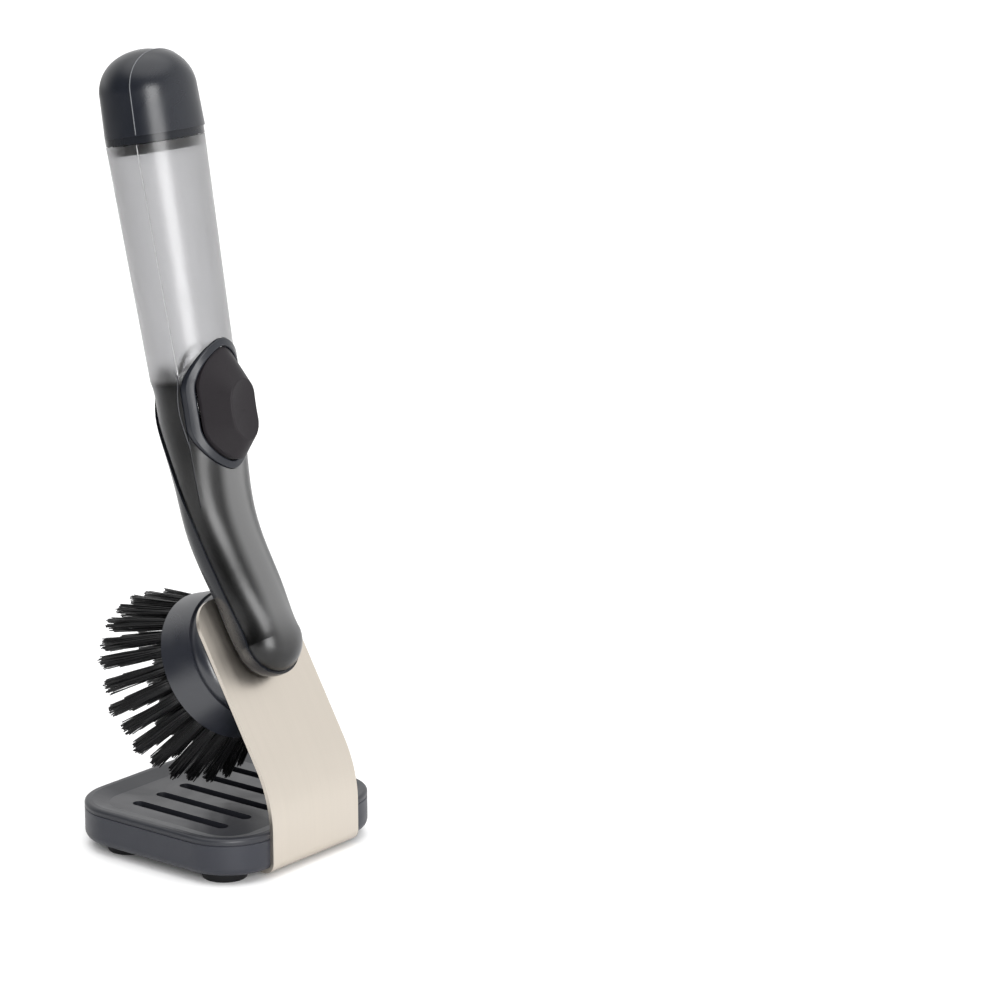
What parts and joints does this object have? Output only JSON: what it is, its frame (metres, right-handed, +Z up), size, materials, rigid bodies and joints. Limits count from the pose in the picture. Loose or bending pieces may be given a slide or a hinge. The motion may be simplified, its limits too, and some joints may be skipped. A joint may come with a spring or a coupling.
{
  "type": "dish wand with drainer stand",
  "caption": "Soap-dispensing dish brush with a clear tube handle, push button, domed fill cap and twist-off head, hanging in a bent steel drainer stand with slotted tray.",
  "frame": {"origin": "on the table under the middle of the whole object's bounding box", "axes": "+Z up, -Y the face of the steel strip and of the push button, +X to the right seen from the front"},
  "size_m": [0.082, 0.0872, 0.274],
  "materials": {
    "strip_steel": "fine brushed stainless sheet",
    "charcoal_plastic": "satin moulded charcoal plastic",
    "tray_plastic": "fine matte moulded plastic",
    "foot_rubber": "matte black rubber",
    "screw_steel": "plain zinc-plated steel",
    "clear_smoke": "clear, lightly smoked, polished",
    "core_plastic": "satin black plastic",
    "seal_rubber": "soft matte rubber",
    "spring_steel": "drawn spring wire",
    "pad_rubber": "soft-touch matte rubber",
    "bristle_nylon": "black nylon filament"
  },
  "bodies": {
    "stand": {"steel_bracket": "strip_steel", "base_shell": "charcoal_plastic", "drip_tray": "tray_plastic", "rubber_feet": "foot_rubber", "bracket_screws": "screw_steel"},
    "wand": {"handle_shell": "clear_smoke", "neck_cover": "charcoal_plastic", "valve_housing": "core_plastic", "button_bezel": "charcoal_plastic", "button_cup": "core_plastic", "outlet_tube": "core_plastic", "valve_seat": "seal_rubber", "stem_seal": "seal_rubber", "button_spring": "spring_steel"},
    "button": {"button_pad": "pad_rubber", "button_plunger": "core_plastic"},
    "cap": {"fill_cap": "charcoal_plastic", "cap_plug": "charcoal_plastic", "cap_seal": "seal_rubber"},
    "head": {"head_cover": "charcoal_plastic", "head_collar": "charcoal_plastic", "tuft_plate": "charcoal_plastic", "outlet_valve": "seal_rubber", "bristles_outer": "bristle_nylon", "bristles_middle": "bristle_nylon", "bristles_inner": "bristle_nylon", "bristles_centre": "bristle_nylon"}
  },
  "joints": [
    {"name": "wand_lift", "type": "slide", "parent": "stand", "child": "wand", "axis": [0, 0.5, 0.866], "range_m": [0, 0.06]},
    {"name": "button_press", "type": "slide", "parent": "wand", "child": "button", "axis": [0, 0.9823, -0.1874], "range_m": [0, 0.003], "stiffness_N_per_m": 500, "springref_m": -0.003, "deforming": ["button_spring"]},
    {"name": "cap_pull", "type": "slide", "parent": "wand", "child": "cap", "axis": [0, 0.1874, 0.9823], "range_m": [0, 0.03]},
    {"name": "head_twist", "type": "hinge", "parent": "wand", "child": "head", "pos_m": [0, -0.01789, 0.07262], "axis": [0, 0.866, -0.5], "range_deg": [0, 60]}
  ]
}
